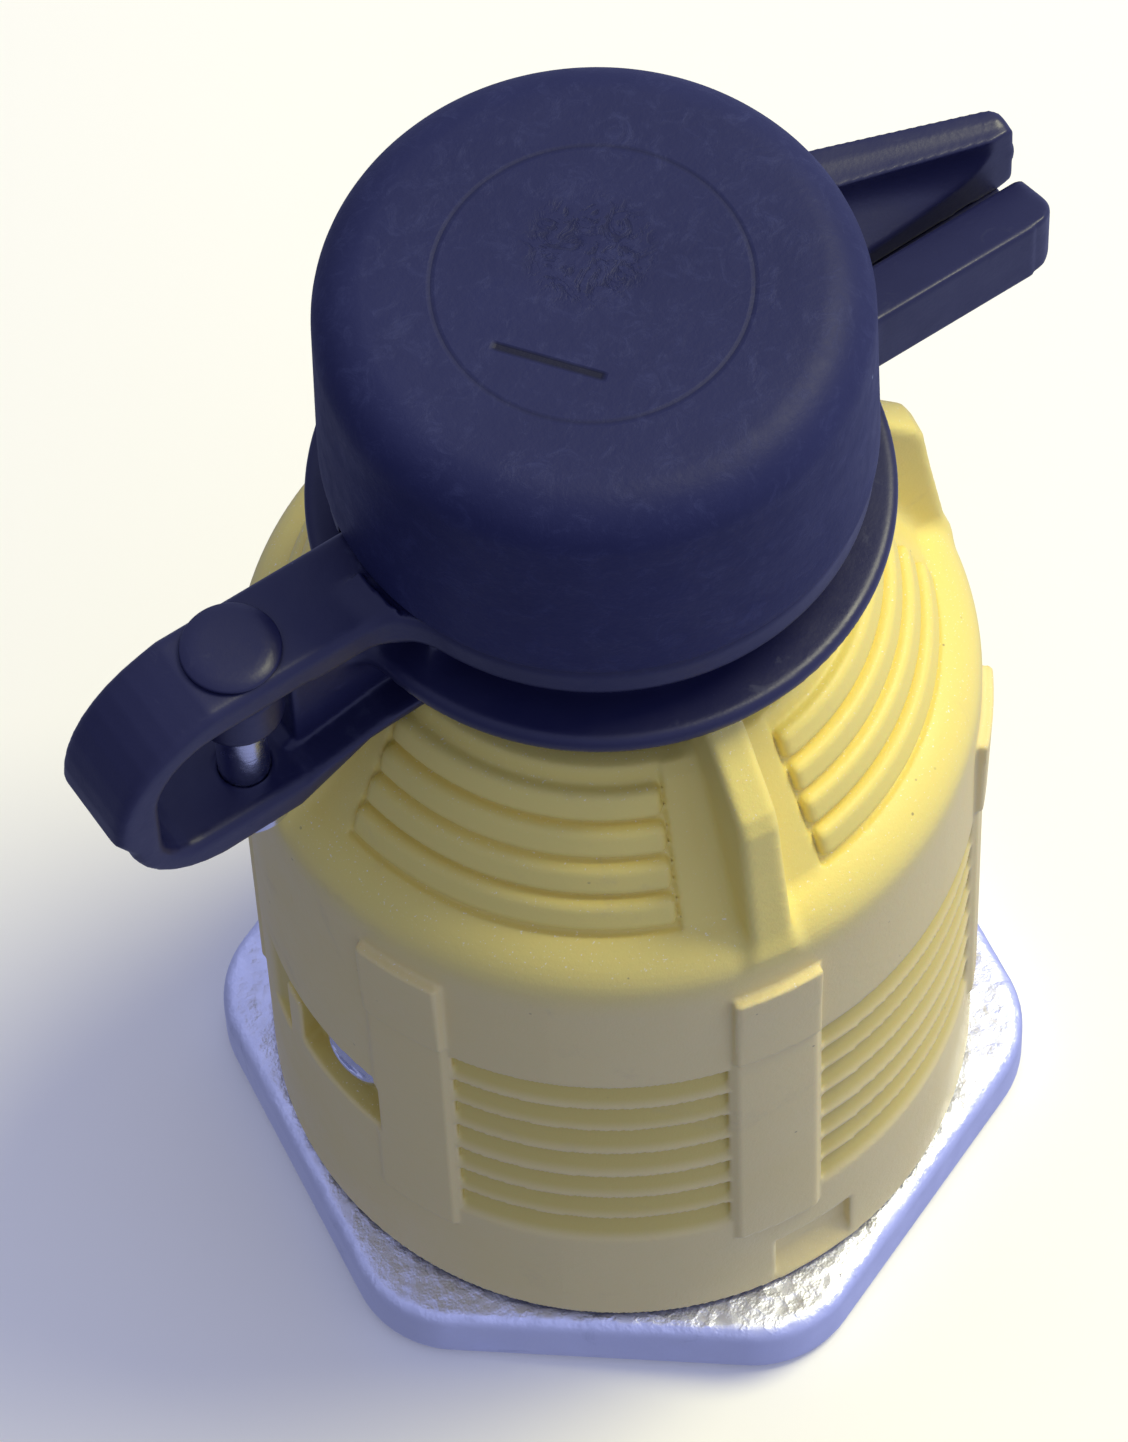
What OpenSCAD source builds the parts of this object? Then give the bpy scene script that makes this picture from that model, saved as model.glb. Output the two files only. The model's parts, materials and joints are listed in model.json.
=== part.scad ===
// Locking cord connector: yellow housing on a hexagonal metal face flange, a hinged
// cord clamp with two ears, and a pull-off closing cap over the cord entry.
// +Z is the cord axis, the mating face is at Z = 0, and the clamp's ears lie along X.

/* [Housing] */
// Radius of the drum
drum_r = 32; // [31:0.25:33]
// Height at which the shoulder starts to round
drum_h = 69.6; // [67:0.2:70]
// Height of the crown, where the clamp sits
crown_h = 89.6; // [88.6:0.2:90]
// Inside radius of the drum
bore_r = 28.6; // [28.5:0.05:28.8]
// Turn of the housing against the clamp
body_turn = -8; // [-12:1:-4]
// Thickness of the four fins
fin_t = 3.3; // [2.5:0.1:4]
// Number of fine grooves in a drum panel
groove_n = 7; // [5:1:8]

/* [Flange] */
// Distance from the axis to a flat of the flange
flange_in_r = 33.3; // [33:0.1:35]
// Thickness of the flange
flange_h = 7; // [6.5:0.1:7]
// Radius of the flange's corners
flange_corner_r = 10; // [6:0.5:14]

/* [Clamp] */
// Radius of the cord passage through the clamp
cord_r = 15.5; // [15:0.1:15.8]
// Radius of the clamp's lower lip
lip_r = 24.5; // [23.5:0.1:25]
// Half width of the ears
ear_half_w = 4.5; // [4:0.1:4.8]
// Distance from the axis to the hinge pin
pin_x = 35.8; // [35:0.1:36.5]
// Radius of the hinge pin
pin_r = 2.2; // [2:0.05:2.3]
// Closing travel of the jaw in degrees
close_deg = 2; // [1:0.25:2]

/* [Cap] */
// Outside radius of the closing cap
cap_r = 23; // [22:0.1:23.5]
// Overall height, to the top of the cap
total_h = 132; // [131:0.5:134]

/* [Contacts] */
// Radius of the circle on which the contacts lie
contact_r = 17; // [16.8:0.1:17.2]
// Width of a blade slot in the face
slot_w = 2.8; // [2.4:0.1:3]
// Angle that a blade slot spans
slot_deg = 46; // [40:1:48]
// Radius of a terminal's wire hole
wire_r = 3.4; // [3:0.1:3.5]

/* [Hidden] */
$fn = 96;

eps = 0.01;
far = 60;

// Housing levels and radii
gasket_t = 0.7;
shoulder_r = 4.8;
cone_base = [28.2, 74.6];
cone_top = [21.8, 88.4];
step_n = 4;
panel_deg = 63;
panel_gap_deg = 1.6;
panel_sink = 0.7;
crown_core_r = 20.7;
groove_pitch = 4.4;
groove_top = 52.1;
groove_deg = 43;
pad_deg = 15;
pad_out = 1.1;
crown_bore_r = 18.8;
seal_pocket_r = 20.5;
seal_floor = 75.6;
pocket_top = 84.1;
entry_r = 15;

// Radial retaining screws in their side windows
retain_angles = [193.5, 13.5];
retain_z = 35;
retain_head_r = 4.25;
retain_seat_r = 29.4;
retain_shank_r = 2;
window = [11.4, 8.8];

// Inner works
skirt_out_r = 28.4;
skirt_in_r = 26.6;
skirt_h = 44;
face_r = 26.3;
face_top = 14;
carrier_r = 25.8;
carrier_z = [14.2, 42];
lug_z = [30.8, 41.8];
lug_r = [12.6, 22.4];
lug_w = 9.6;
terminal_r = 2.5;
terminal_angles = [45, 135, 225, 315];

// Clamp levels
collar_r = 18.6;
collar_foot = 81;
lip_z = [98.8, 100.8];
web_r = 19.4;
flange_z = [105.2, 109];
rim_r = 22.6;
play = 0.3;
half_gap = 0.9;
cheek_z = [101.8, 109.4];
cheek_end = 43.5;
ridge_y = 1.3;
clamp_screw_x = 26;
clamp_screw_z = 104.2;
clamp_screw_r = 1.75;
washer_y = 9.2;
washer_t = 0.8;
nut_y = [-2.9, -0.5];
nut_w = 5;
loop_end = 50.4;
loop_z = [86.4, 90.2];
loop_web_x = 31.4;
web_face = 1.2;
knuckle_z = [99.6, 104.9];
knuckle_r = 3.9;
arm_w = 5;
tongue_x = [25.4, 43.4];
tongue_t = 1.2;

module turned() {
  rotate([0, 0, body_turn]) children();
}

module tube(r_out, r_in, z0, z1) {
  difference() {
    translate([0, 0, z0]) cylinder(r = r_out, h = z1 - z0);
    translate([0, 0, z0 - 1]) cylinder(r = r_in, h = z1 - z0 + 2);
  }
}

// A profile in (radius, height) turned through an arc centred on angle
module arc_extrude(angle, span) {
  rotate([0, 0, angle - span / 2]) rotate_extrude(angle = span) children();
}

// A rod that lies along a radius of the body
module radial_rod(angle, z, r, from, to, sides = 96) {
  rotate([0, 0, angle]) translate([from, 0, z]) rotate([0, 90, 0])
    cylinder(r = r, h = to - from, $fn = sides);
}

function arc_points(centre, r, a0, a1, n) =
  [for (i = [0:n]) let (a = a0 + (a1 - a0) * i / n) centre + r * [cos(a), sin(a)]];

function on_cone(t) = cone_base + (cone_top - cone_base) * t;

// ---- housing -------------------------------------------------------------

module drum_and_crown() {
  rotate_extrude() polygon(concat(
    [[bore_r, flange_h + gasket_t], [drum_r, flange_h + gasket_t]],
    arc_points([drum_r - shoulder_r, drum_h], shoulder_r, 0, 70, 6),
    [cone_base - [panel_sink, 0], cone_top - [panel_sink, 0], [20.6, crown_h],
     [crown_bore_r, crown_h],
     [crown_bore_r, pocket_top], [seal_pocket_r, pocket_top],
     [seal_pocket_r, seal_floor], [entry_r, seal_floor], [entry_r, seal_floor - 3],
     [bore_r - 4.6, seal_floor - 3], [bore_r, 64]]
  ));
}

// One panel of the crown: bands that lean out over the groove below them
module crown_steps() {
  polygon(concat(
    [[crown_core_r, cone_base[1] - 1], [cone_base[0] + 0.2, cone_base[1] - 1]],
    [for (k = [0:step_n - 1]) each [
      on_cone(k / step_n) + [-0.6, 0.2],
      on_cone(k / step_n) + [0.75, 1.2],
      on_cone((k + 1) / step_n) + [0.1, 0]]],
    [[crown_core_r, cone_top[1] + 0.5]]
  ));
}

// The smooth part of the crown between two panels
module crown_plain() {
  polygon([
    [crown_core_r, cone_base[1] - 1.2], [cone_base[0] + 0.4, cone_base[1] - 1.2], cone_base,
    cone_top, [crown_core_r, cone_top[1] + 0.5]
  ]);
}

// Fin that carries the load of the clamp down to the drum
module fin() {
  rotate([90, 0, 0]) translate([0, 0, -fin_t / 2]) linear_extrude(fin_t)
    polygon([
      [19.2, 86], [27, 72], [drum_r - 0.05, 70], [29.4, 89.4], [23.6, 95.4],
      [19.2, 97.6]
    ]);
}

module pad() {
  polygon([
    [drum_r - 1.5, 66], [drum_r + pad_out, 65.4], [drum_r + pad_out, 50],
    [drum_r - 0.1, 43], [drum_r - 1.5, 43]
  ]);
}

module drum_grooves() {
  for (k = [0:groove_n - 1])
    translate([0, groove_top - k * groove_pitch])
      polygon([
        [drum_r - 0.9, 0], [drum_r + 1, 1.4], [drum_r + 1, -1.3]
      ]);
}

module side_windows() {
  for (a = retain_angles) rotate([0, 0, a]) {
    translate([retain_seat_r, -window[0] / 2, retain_z - window[1] / 2])
      cube([5, window[0], window[1]]);
    translate([retain_seat_r, -16, 28]) cube([5, 7.6, retain_z + window[1] / 2 - 28]);
    translate([retain_seat_r + 0.8, -9, retain_z + window[1] / 2 - 2]) cube([5, 4, 2]);
    translate([26, 0, retain_z]) rotate([0, 90, 0]) cylinder(r = 2.4, h = 8);
  }
}

module latch_notch() {
  polygon([
    [drum_r - 1.2, 15.9], [drum_r + 1, 15.9], [drum_r + 1, 8.4], [drum_r - 0.1, 8.4],
    [drum_r - 1.2, 11]
  ]);
}

module housing() {
  color([0.86, 0.79, 0.42]) turned() difference() {
    union() {
      drum_and_crown();
      for (a = [45:90:315]) arc_extrude(a, panel_deg) crown_steps();
      for (a = [0:90:270]) arc_extrude(a, 90 - panel_deg - panel_gap_deg) crown_plain();
      for (a = [0:90:270]) rotate([0, 0, a]) fin();
      for (a = [30:60:330]) arc_extrude(a, pad_deg) pad();
    }
    for (a = [60, 120, 240, 300]) arc_extrude(a, groove_deg) drum_grooves();
    for (a = [97, 277]) arc_extrude(a, 14) latch_notch();
    side_windows();
  }
}

// ---- flange and face -----------------------------------------------------

function hex_outline(in_r, corner_r, n) =
  let (reach = (in_r - corner_r) / cos(30))
  [for (k = [0:5]) each arc_points(
    reach * [cos(60 * k + 30), sin(60 * k + 30)], corner_r, 60 * k, 60 * k + 60, n)];

module face_flange() {
  color([0.75, 0.77, 0.8]) turned() difference() {
    union() {
      linear_extrude(flange_h) polygon(hex_outline(flange_in_r, flange_corner_r, 9));
      cylinder(r = skirt_out_r, h = skirt_h);
    }
    translate([0, 0, -1]) cylinder(r = skirt_in_r, h = skirt_h + 2);
    for (a = retain_angles) radial_rod(a, retain_z, 2.4, 24, 30);
    for (a = terminal_angles) radial_rod(a, (lug_z[0] + lug_z[1]) / 2, 3, 24, 30);
  }
}

module face_gasket() {
  color([0.2, 0.2, 0.2]) tube(drum_r - 0.4, skirt_out_r + 0.1, flange_h, flange_h + gasket_t);
}

module blade_slot(angle, half_w, z0, z1, span) {
  arc_extrude(angle, span) translate([contact_r - half_w, z0]) square([2 * half_w, z1 - z0]);
}

// The face is a rim and a core whose four wings part the blade slots
module face_rim() {
  color([0.22, 0.22, 0.23]) turned() tube(face_r, contact_r + slot_w / 2, 0.6, face_top);
}

module face_core() {
  color([0.25, 0.25, 0.26]) turned() difference() {
    translate([0, 0, 0.6]) cylinder(r = contact_r + slot_w / 2 - 0.05, h = face_top - 0.6);
    for (a = terminal_angles) arc_extrude(a, slot_deg)
      translate([contact_r - slot_w / 2, -1]) square([2 * slot_w, face_top + 2]);
  }
}

module contact_carrier() {
  color([0.3, 0.3, 0.32]) turned() difference() {
    translate([0, 0, carrier_z[0]]) cylinder(r = carrier_r, h = carrier_z[1] - carrier_z[0]);
    for (a = terminal_angles) {
      blade_slot(a, 2.4, carrier_z[0] - 1, lug_z[0] + 1, slot_deg);
      rotate([0, 0, a]) translate([lug_r[0] - 0.3, -lug_w / 2 - 0.2, lug_z[0] - 0.1])
        cube([20, lug_w + 0.4, 20]);
    }
    for (a = retain_angles) radial_rod(a, retain_z, 3.4, 16.8, 30);
  }
}

module contact(angle) {
  turned() difference() {
    blade_slot(angle, 2.2, 15, lug_z[0], slot_deg - 2);
    blade_slot(angle, 1.1, 14, 28, slot_deg + 10);
  }
}

module line_contact_1() {
  color([0.82, 0.68, 0.32]) contact(terminal_angles[0]);
}

module line_contact_2() {
  color([0.82, 0.68, 0.32]) contact(terminal_angles[1]);
}

module neutral_contact() {
  color([0.8, 0.8, 0.78]) contact(terminal_angles[2]);
}

module ground_contact() {
  color([0.7, 0.76, 0.5]) contact(terminal_angles[3]);
}

module terminal_lugs() {
  color([0.8, 0.66, 0.32]) turned() for (a = terminal_angles) difference() {
    rotate([0, 0, a]) translate([lug_r[0], -lug_w / 2, lug_z[0]])
      cube([lug_r[1] - lug_r[0], lug_w, lug_z[1] - lug_z[0]]);
    rotate([0, 0, a]) translate([contact_r, 0, lug_z[0] + 0.8]) cylinder(r = wire_r, h = 20);
    radial_rod(a, (lug_z[0] + lug_z[1]) / 2, terminal_r + 0.05, contact_r + 1, 30);
  }
}

module terminal_screw(angle) {
  mid_z = (lug_z[0] + lug_z[1]) / 2;
  color([0.6, 0.6, 0.62]) turned() difference() {
    radial_rod(angle, mid_z, terminal_r, 19.6, 25.4);
    radial_rod(angle, mid_z, 1.45, 23.4, 26, 6);
  }
}

module terminal_screw_1() {
  terminal_screw(terminal_angles[0]);
}

module terminal_screw_2() {
  terminal_screw(terminal_angles[1]);
}

module terminal_screw_3() {
  terminal_screw(terminal_angles[2]);
}

module terminal_screw_4() {
  terminal_screw(terminal_angles[3]);
}

module wire_divider() {
  color([0.85, 0.85, 0.8]) turned() {
    translate([0, 0, carrier_z[1] + 0.2]) cylinder(r = 10, h = 1.6);
    for (a = [0, 90]) rotate([0, 0, a]) translate([-24, -0.8, carrier_z[1] + 0.2])
      cube([48, 1.6, 13]);
  }
}

module bonding_strap() {
  color([0.72, 0.76, 0.5]) turned() rotate([0, 0, terminal_angles[3]]) {
    translate([20.9, -2.5, lug_z[1] + 0.1]) cube([5.5, 5, 0.6]);
    translate([25.8, -2.5, 37]) cube([0.6, 5, lug_z[1] - 36.4]);
  }
}

module retaining_screw(angle) {
  color([0.78, 0.8, 0.84]) turned() difference() {
    union() {
      radial_rod(angle, retain_z, retain_head_r, retain_seat_r + 0.05, retain_seat_r + 2.3);
      radial_rod(angle, retain_z, retain_shank_r, 19, retain_seat_r + 1);
    }
    rotate([0, 0, angle]) translate([retain_seat_r + 1.3, -5, retain_z - 0.6]) cube([3, 10, 1.2]);
  }
}

module retaining_screw_1() {
  retaining_screw(retain_angles[0]);
}

module retaining_screw_2() {
  retaining_screw(retain_angles[1]);
}

module retaining_inserts() {
  color([0.8, 0.68, 0.35]) turned() for (a = retain_angles) difference() {
    radial_rod(a, retain_z, 3.35, 17, 25.6);
    radial_rod(a, retain_z, retain_shank_r + 0.05, 16, 27);
  }
}

// ---- cord entry ----------------------------------------------------------

module cord_seal() {
  color([0.15, 0.15, 0.15]) rotate_extrude() polygon([
    [11, seal_floor + 0.05], [20.3, seal_floor + 0.05], [20.3, 79.6], [14.6, 79.6],
    [12.6, 80.7], [11, 79.4]
  ]);
}

module seal_washer() {
  color([0.75, 0.75, 0.7]) tube(20.2, 14.8, 79.7, 80.7);
}

// ---- clamp ---------------------------------------------------------------

// Side view of the hinge ear: a closed loop, drawn from the cord axis outwards
module loop_outline() {
  polygon(concat(
    [[17.5, flange_z[1]], [40.4, flange_z[1]]],
    arc_points([loop_end - 12, flange_z[1] - 12], 12, 80, 0, 8),
    arc_points([loop_end - 10.5, loop_z[0] + 8.9], 9.2, -6, -84, 6),
    [[33, loop_z[0]], [26, 90.4], [17.5, 91]]
  ));
}

module loop_hole() {
  polygon(concat(
    [[loop_web_x, flange_z[0]], [39.5, flange_z[0]]],
    arc_points([loop_end - 10.4, flange_z[0] - 6], 6, 80, 0, 6),
    arc_points([loop_end - 7.9, loop_z[1] + 3.5], 3.5, 0, -90, 5),
    [[loop_web_x + 1.2, loop_z[1]], [loop_web_x, loop_z[1] + 0.8]]
  ));
}

// Hollow in the front of the web between the loop and the ring
module web_pocket() {
  translate([0, 0, web_face]) linear_extrude(ear_half_w) polygon([
    [web_r, flange_z[0]], [loop_web_x + 1, flange_z[0]], [loop_web_x + 1, loop_z[1] + 0.1],
    [24, loop_z[1] + 2], [web_r, loop_z[1] + 2.2]
  ]);
}

module hinge_ear() {
  difference() {
    mirror([1, 0, 0]) rotate([90, 0, 0]) translate([0, 0, -ear_half_w])
      linear_extrude(2 * ear_half_w) difference() {
        loop_outline();
        loop_hole();
      }
    mirror([1, 0, 0]) rotate([90, 0, 0]) web_pocket();
    translate([0, 0, 80]) cylinder(r = cord_r, h = 40);
    translate([-pin_x, 0, 80]) cylinder(r = pin_r + 0.02, h = 40);
    translate([-loop_web_x - 1, -eps, lip_z[1] + eps])
      cube([loop_web_x - 7, 10, flange_z[0] - lip_z[1] - eps]);
    rotate([0, 0, 180 + body_turn]) translate([18.8, -fin_t / 2 - play, 80])
      cube([11.2, fin_t + 2 * play, 18.2]);
  }
}

// Front cheek of the open ear, with a top that leans towards the gap
module front_cheek() {
  translate([web_r - 3, 0, 0]) rotate([90, 0, 90]) linear_extrude(cheek_end - web_r + 3)
    polygon([
      [-ear_half_w, cheek_z[0]], [ridge_y, cheek_z[0]], [ridge_y, cheek_z[1] - 2.3],
      [-ear_half_w, cheek_z[1]]
    ]);
}

module fixed_half() {
  intersection() {
    union() {
      tube(web_r, cord_r, lip_z[1] - eps, flange_z[0] + eps);
      tube(rim_r, cord_r, flange_z[0], flange_z[1]);
    }
    translate([-far, -far, 90]) cube([2 * far, far - 0.01, 30]);
  }
}

// Room for the closing cap's foot on top of the ring
module cap_seat() {
  translate([0, 0, flange_z[1]]) cylinder(r = cap_r + play, h = 10);
}

module clamp_base() {
  color([0.11, 0.11, 0.15]) difference() {
    union() {
      tube(collar_r, cord_r, collar_foot, lip_z[0] + eps);
      tube(lip_r, cord_r, lip_z[0], lip_z[1]);
      fixed_half();
      hinge_ear();
      front_cheek();
    }
    tube(collar_r + 1, 17.3, 82.2, 83.9);
    translate([clamp_screw_x, 3, clamp_screw_z]) rotate([90, 0, 0]) cylinder(r = 2.6, h = 7);
    translate([clamp_screw_x - nut_w / 2 - 0.1, nut_y[0] - 0.1, clamp_screw_z - nut_w / 2 - 0.6])
      cube([nut_w + 0.2, nut_y[1] - nut_y[0] + 0.2, nut_w + 0.7]);
    cap_seat();
  }
}

module clamp_snap_ring() {
  color([0.6, 0.6, 0.62]) difference() {
    tube(20.2, 17.4, 82.4, 83.7);
    translate([10, -3, 80]) cube([20, 6, 6]);
  }
}

// Everything behind the split, turned by the closing travel about the hinge pin
module behind_split(gap) {
  translate([-pin_x, 0, 0]) rotate([0, 0, close_deg]) translate([-10, gap, 90]) cube([120, 60, 30]);
}

module back_cheek() {
  hull() {
    for (p = [[20, 15.6, 6], [cheek_end + 1.3, 6.6, 2.2]]) translate([p[0], 0, 0])
      rotate([90, 0, 90]) linear_extrude(0.02) polygon([
        [2, cheek_z[0]], [p[1], cheek_z[0]], [p[1], cheek_z[1] - 0.6],
        [p[1] - 0.6, cheek_z[1]], [p[1] - 1.8, cheek_z[1]], [p[1] - p[2] / 2 - 1.8, cheek_z[0] + 3.6],
        [2, cheek_z[0] + 1.2]
      ]);
  }
}

// Lip of the back cheek that reaches under the front cheek and closes the gap from below
module jaw_tongue() {
  foot = lip_z[1] - half_gap;
  back = ridge_y + 4.9;
  translate([tongue_x[0], 0, 0]) rotate([90, 0, 90]) linear_extrude(tongue_x[1] - tongue_x[0])
    polygon([
      [0.6, foot], [back, foot], [back, cheek_z[0] + 0.8], [back - tongue_t, cheek_z[0] + 0.8],
      [back - tongue_t, foot + tongue_t], [0.6, foot + tongue_t]
    ]);
}

module clamp_jaw() {
  color([0.11, 0.11, 0.15]) difference() {
    union() {
      intersection() {
        union() {
          tube(web_r, cord_r, lip_z[1] + play, flange_z[0] + eps);
          tube(rim_r, cord_r, flange_z[0], flange_z[1]);
          back_cheek();
          translate([clamp_screw_x, washer_y, clamp_screw_z]) rotate([90, 0, 0])
            cylinder(r = 3.1, h = washer_y);
        }
        behind_split(ridge_y + play);
      }
      intersection() {
        translate([-pin_x, half_gap, lip_z[1] + play]) cube([20, arm_w, flange_z[0] - lip_z[1] - 2 * play]);
        tube(far, cord_r, 90, 120);
      }
      jaw_tongue();
      translate([-pin_x, 0, knuckle_z[0]]) cylinder(r = knuckle_r, h = knuckle_z[1] - knuckle_z[0]);
    }
    translate([-far, -1, flange_z[0] - play]) cube([far - 8, ear_half_w + 2.2, 10]);
    translate([-pin_x, 0, 80]) cylinder(r = pin_r + 0.05, h = 40);
    translate([clamp_screw_x, far, clamp_screw_z]) rotate([90, 0, 0])
      cylinder(r = clamp_screw_r + 0.08, h = far);
    translate([clamp_screw_x, washer_y + 10, clamp_screw_z]) rotate([90, 0, 0])
      cylinder(r = 4.4, h = 10);
    translate([0, 0, 90]) cylinder(r = cord_r, h = 30);
    cap_seat();
  }
}

module hinge_pin() {
  color([0.16, 0.16, 0.2]) translate([-pin_x, 0, 0]) {
    translate([0, 0, loop_z[0] - 1.4]) cylinder(r = pin_r, h = flange_z[1] + 0.5 - loop_z[0] + 1.4);
    rotate_extrude() polygon(concat(
      [[0, flange_z[1] + 0.02], [4.2, flange_z[1] + 0.02]],
      [for (t = [0:4]) [4.2 - 0.5 * t - 0.02, flange_z[1] + 0.5 + 0.45 * sin(90 * t / 4)]],
      [[0, flange_z[1] + 0.97]]));
  }
}

module hinge_clip() {
  color([0.55, 0.55, 0.58]) translate([-pin_x, 0, 0])
    tube(4, pin_r + 0.01, loop_z[0] - 1.2, loop_z[0] - 0.4);
}

module clamp_screw() {
  color([0.2, 0.2, 0.22]) translate([clamp_screw_x, 0, clamp_screw_z]) difference() {
    union() {
      translate([0, washer_y + washer_t + 2.7, 0]) rotate([90, 0, 0]) cylinder(r = 3.4, h = 2.6);
      translate([0, washer_y + washer_t + 1, 0]) rotate([90, 0, 0])
        cylinder(r = clamp_screw_r, h = washer_y + washer_t + 1.9);
    }
    for (a = [0, 90]) rotate([0, a, 0]) translate([-2.4, washer_y + washer_t + 1.4, -0.5])
      cube([4.8, 3, 1]);
  }
}

module clamp_washer() {
  color([0.6, 0.6, 0.62]) translate([clamp_screw_x, washer_y + washer_t + 0.05, clamp_screw_z])
    rotate([90, 0, 0]) tube(4, clamp_screw_r + 0.1, 0, washer_t);
}

module clamp_nut() {
  color([0.6, 0.6, 0.62]) difference() {
    translate([clamp_screw_x - nut_w / 2, nut_y[0], clamp_screw_z - nut_w / 2])
      cube([nut_w, nut_y[1] - nut_y[0], nut_w]);
    translate([clamp_screw_x, 3, clamp_screw_z]) rotate([90, 0, 0])
      cylinder(r = clamp_screw_r + 0.35, h = 8);
  }
}

// ---- closing cap ---------------------------------------------------------

module closing_cap() {
  foot = flange_z[1] + play;
  roof = total_h - 4;
  edge_r = 4.6;
  plug_r = 13.2;
  plug_foot = lip_z[1] + 1;
  ring_mark_r = 13;
  color([0.14, 0.14, 0.2]) rotate_extrude() polygon(concat(
    [[cap_r - 2.8, foot], [cap_r, foot]],
    arc_points([cap_r - 0.4 - edge_r, total_h - 0.3 - edge_r], edge_r, 0, 84, 8),
    [[ring_mark_r + 0.2, total_h - 0.05], [ring_mark_r, total_h - 0.3],
     [ring_mark_r - 0.2, total_h - 0.05], [0, total_h], [0, roof], [plug_r - 2.8, roof], [plug_r - 2.8, plug_foot], [plug_r, plug_foot],
     [plug_r, roof],
     [cap_r - 4, roof], [cap_r - 2.8, roof - 1.2]]
  ));
}

housing();
face_flange();
face_gasket();
face_rim();
face_core();
contact_carrier();
line_contact_1();
line_contact_2();
neutral_contact();
ground_contact();
terminal_lugs();
terminal_screw_1();
terminal_screw_2();
terminal_screw_3();
terminal_screw_4();
wire_divider();
bonding_strap();
retaining_screw_1();
retaining_screw_2();
retaining_inserts();
cord_seal();
seal_washer();
clamp_base();
clamp_snap_ring();
clamp_jaw();
hinge_pin();
hinge_clip();
clamp_screw();
clamp_washer();
clamp_nut();
closing_cap();
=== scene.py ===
"""Locking cord connector: yellow housing on a metal face flange, black cord clamp, rubber cap.

The moulded pieces are modelled as distance fields in millimetres and meshed with surface nets,
so that their edges and inside corners are rounded as moulding rounds them. Round pieces are lathed.
"""

import json
from math import cos, hypot, pi, radians, sin

import bpy
import numpy as np
from mathutils import Matrix, Vector


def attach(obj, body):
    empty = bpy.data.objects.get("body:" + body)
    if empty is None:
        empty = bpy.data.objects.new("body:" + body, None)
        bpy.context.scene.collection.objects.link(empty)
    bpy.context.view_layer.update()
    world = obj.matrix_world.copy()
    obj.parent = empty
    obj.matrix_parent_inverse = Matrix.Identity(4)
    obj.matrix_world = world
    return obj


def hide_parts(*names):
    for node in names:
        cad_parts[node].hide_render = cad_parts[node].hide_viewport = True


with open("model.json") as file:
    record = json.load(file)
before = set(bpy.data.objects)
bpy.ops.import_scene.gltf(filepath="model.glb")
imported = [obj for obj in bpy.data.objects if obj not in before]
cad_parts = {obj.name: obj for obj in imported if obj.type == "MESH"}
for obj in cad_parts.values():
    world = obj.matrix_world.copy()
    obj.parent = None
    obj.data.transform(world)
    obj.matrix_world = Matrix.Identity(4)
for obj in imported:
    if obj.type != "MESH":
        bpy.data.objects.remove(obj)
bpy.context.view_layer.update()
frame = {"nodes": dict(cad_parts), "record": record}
MM = 0.001

# Sizes shared by several pieces, in millimetres; they follow the CAD
BODY_TURN = radians(-8)
DRUM_R, DRUM_FOOT, SHOULDER_Z, SHOULDER_R = 32.0, 7.7, 69.6, 4.8
CONE_BASE, CONE_TOP, CROWN_TOP = (28.2, 74.6), (21.8, 88.4), 89.6
BORE_R, FLOOR_Z = 28.6, 75.6
WINDOW_ANGLES, WINDOW_Z, WINDOW_SEAT = (193.5, 13.5), 35.0, 29.4
LATCH_ANGLES, LUG_ANGLES, LUG_Z = (97, 277), (45, 135, 225, 315), 36.3
SKIRT_OUT_R, SKIRT_IN_R, SKIRT_H = 28.4, 26.6, 44
FLANGE_IN_R, FLANGE_H, FLANGE_CORNER = 33.3, 7.0, 10.0
CORD_R, LIP_R, WEB_R, RIM_R, COLLAR_R = 15.5, 24.5, 19.4, 22.6, 18.6
LIP_Z, RIM_Z = (98.8, 100.8), (105.2, 109.0)
EAR_HALF, PIN_X, PIN_R, LOOP_WEB_X = 4.5, 35.8, 2.2, 31.4
CAP_R, CAP_FOOT, CAP_TOP = 23.0, 109.3, 132.0
SCREW_X, SCREW_Z, SCREW_R = 26.0, 104.2, 1.75
RIDGE_Y, CLOSE_ANGLE, PLAY = 1.3, radians(2), 0.3
SCREW_HEAD_R, SCREW_HEAD_H, SCREW_SHANK_R = 4.25, 2.25, 2.0
# Grid step of the moulded pieces
FINE = 0.3


# ---- distance fields -------------------------------------------------------

def blend_min(a, b, k):
    """Union of two fields whose inside corner is filled with a fillet of about k."""
    h = np.clip(0.5 + 0.5 * (b - a) / k, 0, 1)
    return b * (1 - h) + a * h - k * h * (1 - h)


def blend_max(a, b, k):
    """Intersection of two fields whose outside edge is rounded by about k."""
    return -blend_min(-a, -b, k)


def cut(a, b, k=0.3):
    """Field a with field b taken away."""
    return blend_max(a, -b, k)


def polygon(x, y, points):
    """Signed distance to a closed outline."""
    best = np.full_like(x, 1e9)
    inside = np.zeros(x.shape, bool)
    for (x0, y0), (x1, y1) in zip(points, points[1:] + points[:1]):
        ex, ey = x1 - x0, y1 - y0
        t = np.clip(((x - x0) * ex + (y - y0) * ey) / (ex * ex + ey * ey), 0, 1)
        best = np.minimum(best, (x - x0 - ex * t) ** 2 + (y - y0 - ey * t) ** 2)
        if ey:
            crosses = (y0 > y) != (y1 > y)
            inside ^= crosses & (x < x0 + (y - y0) * ex / ey)
    return np.where(inside, -1, 1) * np.sqrt(best)


def box(x, y, centre, half, round_by=0.0):
    """Signed distance to a rounded rectangle."""
    qx = np.abs(x - centre[0]) - half[0] + round_by
    qy = np.abs(y - centre[1]) - half[1] + round_by
    return np.hypot(np.maximum(qx, 0), np.maximum(qy, 0)) + np.minimum(np.maximum(qx, qy), 0) - round_by


def span(v, low, high):
    return np.maximum(low - v, v - high)


def turned(x, y, angle):
    c, s = cos(angle), sin(angle)
    return c * x + s * y, c * y - s * x


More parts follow.
